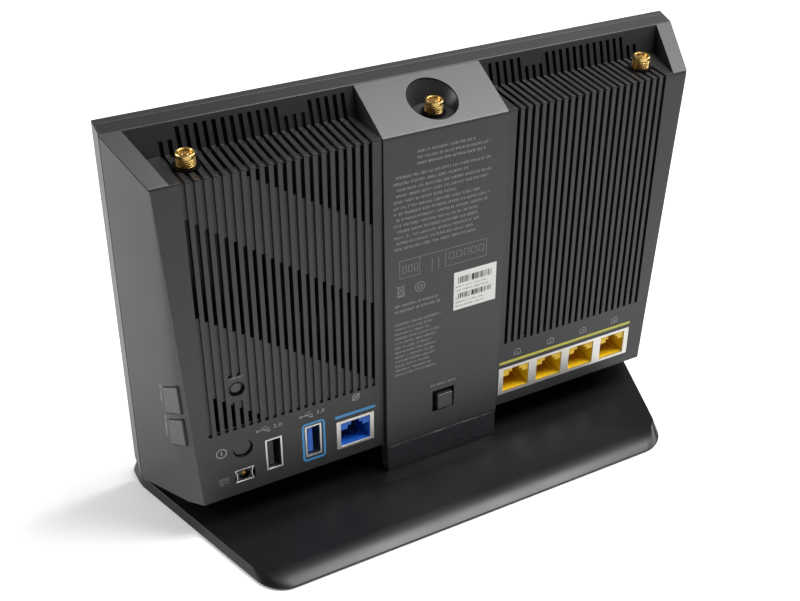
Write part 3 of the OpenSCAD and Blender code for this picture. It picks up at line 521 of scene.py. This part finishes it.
# unreadable lines of small marks, four cells high, in words of two to nine letters
def wordMarks(columns, rows, seed, pitchRows, shortest, indent=0):
    chance = random.Random(seed)
    marks = set()
    for top in range(0, rows - 3, pitchRows):
        column, end = indent * chance.randint(0, 1), int(columns * chance.uniform(shortest, 1.0))
        while column < end:
            for letter in range(chance.randint(2, 9)):
                for dx in range(2):
                    for dy in range(4):
                        if column + dx < end and chance.random() < 0.74:
                            marks.add((column + dx, top + dy))
                column += 3
            column += 2
    return marks


def markStrip(name, widthMm, lines, seed, place, cellMm, shortest, indent=0, linePitch=9):
    columns, rows = round(widthMm / cellMm), lines * linePitch
    marks = wordMarks(columns, rows, seed, linePitch, shortest, indent)
    return inkSheet(name, columns * cellMm, rows * cellMm, cellMm, lambda c, r: (c, r) in marks, place,
                    greyInk)


markStrip("spineHeader", 29.0, 3, 2, onSpine(-3.0, 9.6), 0.24, 0.75)
markStrip("spineTextUpper", 39.0, 13, 7, onSpine(1.2, 29.0), 0.25, 0.62, 4)
markStrip("spineTextMiddle", 19.0, 2, 19, onSpine(11.0, 66.6), 0.25, 0.8)
markStrip("spineTextLower", 20.0, 12, 11, onSpine(10.6, 84.0), 0.22, 0.7)
markStrip("lightKeyLabel", 11.0, 1, 23, onSpine(0.0, 104.9), 0.24, 0.95)
label = {"width": 16.4, "height": 14.2, "cell": 0.164, "columns": 100, "rows": 88}
bars = random.Random(5)
barColumns = {c for c in range(label["columns"]) if bars.random() < 0.5}
labelMarks = wordMarks(label["columns"], label["rows"], 3, 10, 0.7)


def labelKeep(column, row):
    if 8 <= row < 24 or 50 <= row < 62:
        return 4 < column < 92 and column in barColumns
    return row > 26 and (column, row) in labelMarks and (column, row - 1) in labelMarks


inkSheet("labelPrint", label["width"], label["height"], label["cell"], labelKeep,
         onSpine(-labelAt["along"], labelAt["down"], labelLift), darkInk)
sideRight = Vector((0, 0, 1)).cross(sideOut)
sideZero = Vector((cadBox[1][0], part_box("front_cover")[0][1] + 8 * mm, 0))
quarterTurn = Matrix.Rotation(math.radians(90), 4, "Z")


def onSide(alongMm, heightMm):
    origin = sideZero + sideRight * alongMm * mm + Vector((0, 0, heightMm * mm)) + sideOut * inkLift * mm
    return faceFrame(origin, sideOut, sideRight)


markStrip("sideLabelUpper", 8.0, 1, 31, onSide(18.7, 60.5) @ quarterTurn, 0.22, 0.95)
markStrip("sideLabelLower", 10.0, 1, 37, onSide(19.8, 46.5) @ quarterTurn, 0.22, 0.95)
markStrip("resetLabel", 5.0, 1, 41, onRear(80.6, 76.0), 0.2, 0.95)
print("stage: printing laid")


# ---- small icons beside the sockets and keys
def iconPiece(name, strokes, place, material):
    clearSelection()
    parts = []
    for stroke in strokes:
        if stroke[0] == "ring":
            _, x, y, r, width = stroke
            bpy.ops.mesh.primitive_circle_add(vertices=40, radius=r * mm, fill_type="NGON",
                                              location=(x * mm, y * mm, 0))
            bpy.ops.object.mode_set(mode="EDIT")
            bpy.ops.mesh.select_all(action="SELECT")
            bpy.ops.mesh.inset(thickness=width * mm)
            bpy.ops.mesh.delete(type="FACE")
            bpy.ops.object.mode_set(mode="OBJECT")
        elif stroke[0] == "bar":
            _, x, y, length, width, turn = stroke
            bpy.ops.mesh.primitive_plane_add(size=1, location=(x * mm, y * mm, 0),
                                             rotation=(0, 0, math.radians(turn)))
            bpy.context.object.scale = (length * mm, width * mm, 1)
        else:
            _, x, y, size, digit = stroke
            bpy.ops.object.text_add(location=(x * mm, y * mm, 0))
            text = bpy.context.object
            text.data.body = digit
            text.data.size = size * mm
            text.data.align_x = "CENTER"
            text.data.align_y = "CENTER"
            bpy.ops.object.convert(target="MESH")
        parts.append(bpy.context.object)
    clearSelection()
    for part in parts:
        part.select_set(True)
    bpy.context.view_layer.objects.active = parts[0]
    bpy.ops.object.transform_apply(location=True, rotation=True, scale=True)
    bpy.ops.object.join()
    return finishPiece(parts[0], name, material, place)


def houseIcon(digit):
    return [("bar", 0, -1.2, 3.0, 0.22, 0), ("bar", -1.4, -0.3, 1.8, 0.22, 90),
            ("bar", 1.4, -0.3, 1.8, 0.22, 90), ("bar", -0.75, 1.0, 1.75, 0.22, 35),
            ("bar", 0.75, 1.0, 1.75, 0.22, -35), ("digit", 0, -0.3, 1.9, digit)]


socketIcons = {"count": 4, "first": -81.8, "pitch": 15.75, "down": 102.9}
for index in range(socketIcons["count"]):
    iconPiece("socketIcon%d" % (index + 1), houseIcon(str(socketIcons["count"] - index)),
              onRear(socketIcons["first"] + index * socketIcons["pitch"], socketIcons["down"]), paleInk)
iconPiece("powerIcon", [("ring", 0, 0, 2.0, 0.3), ("bar", 0, 0, 1.7, 0.32, 90)],
          onRear(88.6, 105.7), paleInk)
iconPiece("globeIcon", [("ring", 0, 0, 1.5, 0.25), ("bar", 0, 0, 4.2, 0.3, 40), ("bar", 0, 0, 2.6, 0.2, -50)],
          onRear(36, 99.8), paleInk)
stick = [("bar", 0, 0, 4.6, 0.24, 0), ("ring", -2.4, 0, 0.5, 0.25), ("bar", -0.4, 0.55, 1.5, 0.22, 45),
         ("bar", 0.7, -0.55, 1.5, 0.22, -45), ("bar", 0.9, 1.1, 1.0, 0.22, 0),
         ("bar", 1.9, -1.1, 0.9, 0.5, 0)]


def stickIcon(digit):
    return stick + [("digit", 4.3, 0, 2.2, digit), ("bar", 5.4, -0.6, 0.3, 0.3, 0),
                    ("digit", 6.4, 0, 2.2, "0")]


iconPiece("stickIconLower", stickIcon("2"), onRear(72.4, 101.1), paleInk)
iconPiece("stickIconUpper", stickIcon("3"), onRear(55.7, 101.0), paleInk)
iconPiece("inletIcon", [("bar", 0, 0.9, 4.0, 0.3, 0), ("bar", -1.4, 0, 1.0, 0.3, 0),
                        ("bar", 0, 0, 1.0, 0.3, 0), ("bar", 1.4, 0, 1.0, 0.3, 0),
                        ("ring", -1.0, -1.2, 0.7, 0.22), ("bar", 1.0, -1.2, 1.6, 0.25, 0)],
          onRear(88.6, 118.2), greyInk)


def outlineBox(x, y, w, h, line=0.2):
    return [("bar", x, y + h / 2, w, line, 0), ("bar", x, y - h / 2, w, line, 0),
            ("bar", x - w / 2, y, h, line, 90), ("bar", x + w / 2, y, h, line, 90)]


# a small plan of the sockets, with a plain round mark and a crossed-out bin under it
plan = outlineBox(-14.5, 0.2, 8.0, 7.0) + outlineBox(8.5, 0.2, 17.0, 7.0) + [
    ("bar", -5.5, 3.7, 10.0, 0.2, 0), ("bar", -5.5, -1.0, 5.0, 0.2, 90), ("bar", -2.8, -1.0, 5.0, 0.2, 90)]
for index in range(5):
    plan += outlineBox(2.4 + index * 3.1, 0.6, 2.0, 2.4)
for index in range(3):
    plan += outlineBox(-16.6 + index * 2.3, 0.0, 1.3, 2.8)
iconPiece("socketPlan", plan, onSpine(0, 50.5), greyInk)
iconPiece("roundMark", [("ring", 0, 0, 2.1, 0.3), ("ring", 0, 0, 1.1, 0.25), ("bar", 0, 0, 2.6, 0.2, 20)],
          onSpine(10.4, 59.0), greyInk)
crossedBin = outlineBox(0, 0, 2.2, 3.0, 0.3) + [
    ("bar", 0, 0, 5.2, 0.25, 50), ("bar", 0, 0, 5.2, 0.25, -50), ("bar", 0, -2.4, 3.0, 0.6, 0)]
iconPiece("binMark", crossedBin, onSpine(18.1, 58.5), greyInk)
print("stage: icons drawn")

# ---- floor, light and world
floorSize = {"width": 6, "gap": 0.0002, "tone": "#f4f4f4"}
bpy.ops.mesh.primitive_plane_add(size=floorSize["width"], location=(0, 0, cadBox[0][2] - floorSize["gap"]))
floorPlane = bpy.context.object
floorPlane.name = "paleFloor"
floorMaterial, floorTree, floorCoords = startMaterial("paintedFloor")
floorGrain = addNode(floorTree, "ShaderNodeTexNoise", {"in:Scale": 40.0}, {"Vector": floorCoords})
floorTone = addNode(floorTree, "ShaderNodeMapRange", {"in:3": 0.98, "in:4": 1.02},
                    {"0": floorGrain.outputs["Fac"]})
floorColour = addNode(floorTree, "ShaderNodeHueSaturation", {"in:Color": linear(floorSize["tone"])},
                      {"Value": floorTone.outputs[0]})
finishMaterial(floorTree, addNode(floorTree, "ShaderNodeBsdfPrincipled", {"in:Roughness": 0.7},
                                  {"Base Color": floorColour.outputs[0]}))
floorPlane.data.materials.append(floorMaterial)

lamps = {"top": {"place": (-0.4, 0.1, 1.0), "aim": (0, 0.0, 0.14), "size": 0.5, "power": 14},
         "right": {"place": (-0.95, 0.0, 0.6), "aim": (0, 0, 0.05), "size": 0.5, "power": 5},
         "side": {"place": (0.8, -0.4, 0.4), "aim": (0.12, 0, 0.07), "size": 0.55, "power": 9.5}}
for lampName, lamp in lamps.items():
    bpy.ops.object.light_add(type="AREA", location=lamp["place"])
    light = bpy.context.object
    light.name = lampName + "Lamp"
    light.data.shape = "SQUARE"
    light.data.size = lamp["size"]
    light.data.energy = lamp["power"]
    aim = Vector(lamp["aim"]) - Vector(lamp["place"])
    light.rotation_euler = aim.to_track_quat("-Z", "Y").to_euler()
world = bpy.data.worlds.new("studio")
bpy.context.scene.world = world
world.use_nodes = True
sky = {"colour": "#ffffff", "strength": 0.25}
background = world.node_tree.nodes["Background"]
background.inputs["Color"].default_value = linear(sky["colour"])
background.inputs["Strength"].default_value = sky["strength"]
bpy.context.scene.view_settings.view_transform = "Standard"
print("stage: studio lit")

clearSelection()
